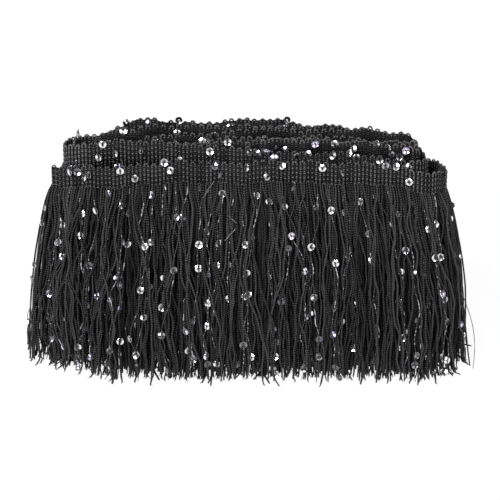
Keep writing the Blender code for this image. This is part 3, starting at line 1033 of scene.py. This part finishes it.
def sequin_faces(rim, centres, outward, up, tilt, shade):
    """Copies of one cupped disc, each turned to face outward and then tilted.

    The disc is a ring profile turned about its middle: from the hole out along the front of the cup, over
    the rim and back along its rear. Its depth at radius p is cup · ((p − hole) / (rim − hole)) to the 1.6.
    Inside the rim its colour is painted darker: towards the hole, and above and below the hole by sin a to
    the 8, at an angle a round the disc. This painted shade stands in for the dark yarn that shows through
    and across the clear film, and for a dimmer reflection there.
    """
    hole, cup, film = 0.25 * rim, 0.22 * rim, 0.06
    segments = SEQUIN_SEGMENTS
    radii = np.array([hole, 0.6 * rim, rim, rim, 0.6 * rim, hole])
    offsets = film * np.array([1, 1, 1, -1, -1, -1])
    # Painted shade towards the hole, standing in for the dark yarn seen through the clear film
    painted_centre_shade = np.array([-0.6, -0.15, 0.0, 0.0, -0.15, -0.6])
    # Painted shade above and below the hole, standing in for the yarn across the film and a dimmer reflection
    # there
    painted_crossing_shade = np.array([0.9, 0.5, 0.0, 0.0, 0.5, 0.9])
    depth = cup * ((radii - hole) / (rim - hole)) ** 1.6 + offsets
    angle = 2 * np.pi * np.arange(segments) / segments
    around = (radii[:, None] * np.cos(angle), radii[:, None] * np.sin(angle), depth[:, None])
    disc = np.stack(np.broadcast_arrays(*around), axis=-1)
    normal = unit(outward)
    across = unit(np.cross(up, normal))
    upright = np.cross(normal, across)
    pitch, yaw = tilt[:, 0:1], tilt[:, 1:2]
    facing = unit(normal + across * np.tan(yaw) + upright * np.tan(pitch))
    across = unit(across - facing * np.sum(across * facing, axis=1, keepdims=True))
    upright = np.cross(facing, across)
    flip = np.where(tilt[:, 2:3] > 0, 1.0, -1.0)
    axes = np.stack([across * flip, upright, facing * flip], axis=1)
    corners = centres[:, None, None] + np.einsum("rsk,nkj->nrsj", disc, axes)

    count, rings = len(centres), len(radii)
    index = np.arange(count * rings * segments).reshape(count, rings, segments)
    faces = ring_faces(np.concatenate([index, index[:, :1]], axis=1))[..., FACING_BACK]
    return {
        "points": corners.reshape(-1, 3),
        "corners": faces.ravel(),
        "counts": np.full(faces.size // 4, 4),
        "uv": np.zeros((faces.size, 2)),
        "shade": (shade[:, None, None] + painted_centre_shade[:, None] - painted_crossing_shade[:, None] * np.sin(angle) ** 8).ravel(),
    }


class FRINGE_OT_sequins(Operator):
    """Hangs the fine carrier yarns and threads the sequins on them and on the heading."""

    bl_idname = "fringe.sequins"
    bl_label = "Thread the sequins"

    def carriers(self, tape, first, last, every, seed):
        """The yarns that carry sequins: one for every so many columns, each a little aside of its column."""
        rng = np.random.default_rng(seed)
        starts = tape.columns(first, last)[rng.integers(0, every) :: every]
        starts = starts + rng.uniform(-1.2, 1.2, len(starts))
        return HangingYarns(tape, starts, tape.sizes.carrier_width / 2, CARRIER_HANG, seed + 1)

    def on_carriers(self, yarns, rng, share):
        """Sequins at random steps down each carrier, and some near its foot: centres, sides and ways up."""
        gap, count = yarns.tape.sizes.sequin_gap, len(yarns.start)
        near_foot, clear_top, clear_foot, sunk_in = (2.0, 22.0), 2.0, 1.5, 0.35
        steps = rng.uniform(0.55, 1.45, (count, 8)) * gap
        run = np.cumsum(steps, axis=1) - rng.uniform(0.3, 1.0, (count, 1)) * gap
        run = np.concatenate([run, yarns.length - rng.uniform(*near_foot, (count, 1))], axis=1)
        points, outward = yarns.points(run)
        on_yarn = (run > clear_top) & (run < yarns.length - clear_foot)
        used = on_yarn & (rng.uniform(0, 1, run.shape) < share)
        below, _ = yarns.points(run + 2.0)
        up = unit(points - below)
        return points[used] - sunk_in * unit(outward[used]), outward[used], up[used]

    def on_heading(self, tape, rng):
        """Sequins knitted into the heading, on both its faces, but for the near faces that show."""
        apart, aside = 8.0, 3.5
        distance = np.arange(apart / 2, TAPE_LENGTH, apart)
        distance = distance + rng.uniform(-aside, aside, len(distance))
        below = rng.uniform(0.3, 1.0, len(distance)) ** 1.3 * tape.sizes.heading_height
        face = rng.choice([-1.0, 1.0], len(distance), p=[0.4, 0.6])
        first_row = distance < tape.end_of(0, 0.0)
        third_row = (distance > tape.end_of(1, 1.0)) & (distance < tape.end_of(2, 0.0))
        used = (face < 0) | ~(first_row | third_row | (tape.bent(distance) > 0.3))
        distance, below, face = distance[used], below[used], face[used]
        return self.against_heading(tape, distance, below, face * rng.uniform(1.3, 1.9, len(distance)))

    def against_heading(self, tape, distance, below, out):
        """Places below the heading's upper edge and out of its middle, their sides and their ways up."""
        points, side = tape.place(distance, tape.top(distance) - below, out)
        outward = side * np.sign(out)[:, None]
        return points, outward, np.broadcast_to([0.0, 0.0, 1.0], outward.shape)

    def crease(self, mesh):
        """Keeps the film's edges sharp at the holes and rims, so that each face of a cup mirrors evenly."""
        ends = np.empty(2 * len(mesh.edges), dtype=np.int32)
        mesh.edges.foreach_get("vertices", ends)
        ring = ends.reshape(-1, 2) // SEQUIN_SEGMENTS % SEQUIN_RINGS
        sharp = (ring[:, 0] == ring[:, 1]) & (ring[:, 0] % 3 != 1)
        mesh.attributes.new("sharp_edge", "BOOLEAN", "EDGE").data.foreach_set("value", sharp)

    def execute(self, context):
        colours = context.scene.fringe_colours
        tape, rng = Tape(), np.random.default_rng(31)
        outer_end, shown_end = tape.end_of(1, 1.0), tape.end_of(2, 1.0)
        yarn = new_material(
            "carrier_filament_yarn", filament_yarn, colour=colours.carrier, fleck=colours.fleck
        )
        film = new_material(
            "silvered_polyester_film", sequin_film,
            silver=colours.silver, smoke=colours.smoke, violet=colours.violet,
        )
        outer = self.carriers(tape, 0.0, outer_end, every=3, seed=32)
        inner = self.carriers(tape, outer_end, shown_end, every=4, seed=34)
        carriers = joined([outer.tubes(steps=44, sides=4, seed=36), inner.tubes(steps=24, sides=4, seed=37)])
        mesh_piece("carrier_yarns", carriers, yarn)
        row, x, below, turn, shown_shade = np.array(SHOWN_SEQUINS).T
        # The near face is the outer one where the tape runs to the right, and else the inner one
        out = np.where(row % 2 == 0, 1.5, -1.5)
        found = [
            self.against_heading(tape, tape.along_row(row, x), below, out),
            self.on_carriers(outer, rng, share=0.95),
            self.on_carriers(inner, rng, share=0.8),
            self.on_heading(tape, rng),
        ]
        centres, outward, up = (np.concatenate(column) for column in zip(*found))
        outward = outward * np.array([1.0, 1.0, 0.3])
        # A sequin's tilt is its pitch, its turn to the right and which way round its cup is
        tilt_spread, looks_up = np.array([0.16, 0.65, 1.0]), np.array([0.2, 0.0])
        least, most = [-0.1, -1.1], [0.6, 1.1]
        tilt = rng.normal(0.0, 1.0, (len(centres), 3)) * tilt_spread
        tilt[: len(x), 1] = turn
        tilt[:, :2] = np.clip(tilt[:, :2] + looks_up, least, most)
        rim = tape.sizes.sequin_width / 2
        centres[:, 2] = np.maximum(centres[:, 2], rim + 0.2)
        shade = np.concatenate([shown_shade, rng.uniform(-0.2, 1.2, len(centres) - len(x))])
        cups = sequin_faces(rim, centres, outward, up, tilt, shade)
        self.crease(mesh_piece("sequins", cups, film).data)
        return {"FINISHED"}


class FRINGE_OT_loose_threads(Operator):
    """Adds the few loose threads that cross the strands or bow out of them."""

    bl_idname = "fringe.loose_threads"
    bl_label = "Add loose threads"

    def execute(self, context):
        colours = context.scene.fringe_colours
        yarn = new_material(
            "loose_filament_thread", filament_yarn, colour=colours.thread, fleck=colours.fleck
        )
        mesh_piece("loose_threads", loose_yarns(Tape(), LOOSE_THREADS, 0.25), yarn)
        return {"FINISHED"}


# The square soft boxes, in metres, with the studio setting that holds the power of each. They face the
# middle of the coil. The camera looks at the middle of the picture through a long lens, and the floor
# reaches 6 metres each way.
SoftBox = namedtuple("SoftBox", "name place width power")
SOFT_BOXES = (
    SoftBox("key_light", (-0.8, -1.35, 1.25), 1.2, "key"),
    SoftBox("fill_light", (1.1, -1.0, 1.0), 1.2, "fill"),
    SoftBox("back_left_light", (-1.1, 1.2, 1.1), 0.8, "back"),
    SoftBox("back_right_light", (1.0, 1.3, 1.2), 0.8, "back"),
)
COIL_MIDDLE = (0.0, 0.0, 0.07)
PICTURE_MIDDLE = (0.001, 0.002, 0.0708)
LENS_MM = 170.2
FLOOR_REACH = 6.0


class FRINGE_OT_studio(Operator):
    """Sets up the floor, the lights and the camera."""

    bl_idname = "fringe.studio"
    bl_label = "Set up the studio"

    def aim(self, thing, target):
        """Turns a light or camera to face a place."""
        direction = Vector(target) - thing.location
        thing.rotation_euler = direction.to_track_quat("-Z", "Y").to_euler()

    def execute(self, context):
        studio, colours = context.scene.fringe_studio, context.scene.fringe_colours
        scene = context.scene
        mesh = bpy.data.meshes.new("studio_floor")
        corners = [(x * FLOOR_REACH, y * FLOOR_REACH, 0.0) for x, y in ((-1, -1), (1, -1), (1, 1), (-1, 1))]
        mesh.from_pydata(corners, [], [(0, 1, 2, 3)])
        mesh.materials.append(new_material("matt_paper", plain_paper, colour=colours.floor))
        floor = linked("studio_floor", mesh)
        floor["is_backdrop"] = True

        world = bpy.data.worlds.new("studio_room")
        world.use_nodes = True
        background = world.node_tree.nodes["Background"]
        background.inputs["Color"].default_value = (1.0, 1.0, 1.0, 1.0)
        background.inputs["Strength"].default_value = studio.sky
        scene.world = world

        for soft_box in SOFT_BOXES:
            light = bpy.data.lights.new(soft_box.name, "AREA")
            light.shape = "SQUARE"
            light.size = soft_box.width
            light.energy = getattr(studio, soft_box.power)
            box = linked(soft_box.name, light)
            box.location = soft_box.place
            self.aim(box, COIL_MIDDLE)

        back = np.array([0.0, -np.cos(studio.elevation), np.sin(studio.elevation)])
        lens = bpy.data.cameras.new("photo_camera")
        lens.sensor_width = 36.0
        lens.lens = LENS_MM
        camera = linked("photo_camera", lens)
        camera.location = np.array(PICTURE_MIDDLE) + studio.distance * back
        self.aim(camera, PICTURE_MIDDLE)
        scene.camera = camera
        scene.view_settings.view_transform = "Standard"
        return {"FINISHED"}


MAKERS = (
    FRINGE_OT_heading,
    FRINGE_OT_strands,
    FRINGE_OT_sequins,
    FRINGE_OT_loose_threads,
    FRINGE_OT_studio,
)


class FRINGE_PT_sidebar(Panel):
    """Lists the sizes, the colours and the makers."""

    bl_idname = "FRINGE_PT_sidebar"
    bl_label = "Sequin fringe"
    bl_space_type = "VIEW_3D"
    bl_region_type = "UI"
    bl_category = "Fringe"

    def draw(self, context):
        for name in SETTINGS:
            settings = getattr(context.scene, name)
            box = self.layout.box()
            for key in settings.__annotations__:
                box.prop(settings, key)
        for maker in MAKERS:
            self.layout.operator(maker.bl_idname)


SETTINGS = {"fringe_sizes": FringeSizes, "fringe_colours": FringeColours, "fringe_studio": FringeStudio}
CLASSES = (*SETTINGS.values(), *MAKERS, FRINGE_PT_sidebar)


def register():
    for registered in CLASSES:
        bpy.utils.register_class(registered)
    for name, settings in SETTINGS.items():
        setattr(bpy.types.Scene, name, PointerProperty(type=settings))


def unregister():
    for name in SETTINGS:
        delattr(bpy.types.Scene, name)
    for registered in reversed(CLASSES):
        bpy.utils.unregister_class(registered)


def main():
    register()
    bpy.ops.fringe.studio()
    bpy.ops.fringe.heading()
    bpy.ops.fringe.strands()
    bpy.ops.fringe.sequins()
    bpy.ops.fringe.loose_threads()
    boxes = {"cad": CAD_BOX, "visual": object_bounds()}
    plain = {name: [[float(value) for value in corner] for corner in box] for name, box in boxes.items()}


if __name__ == "__main__":
    main()
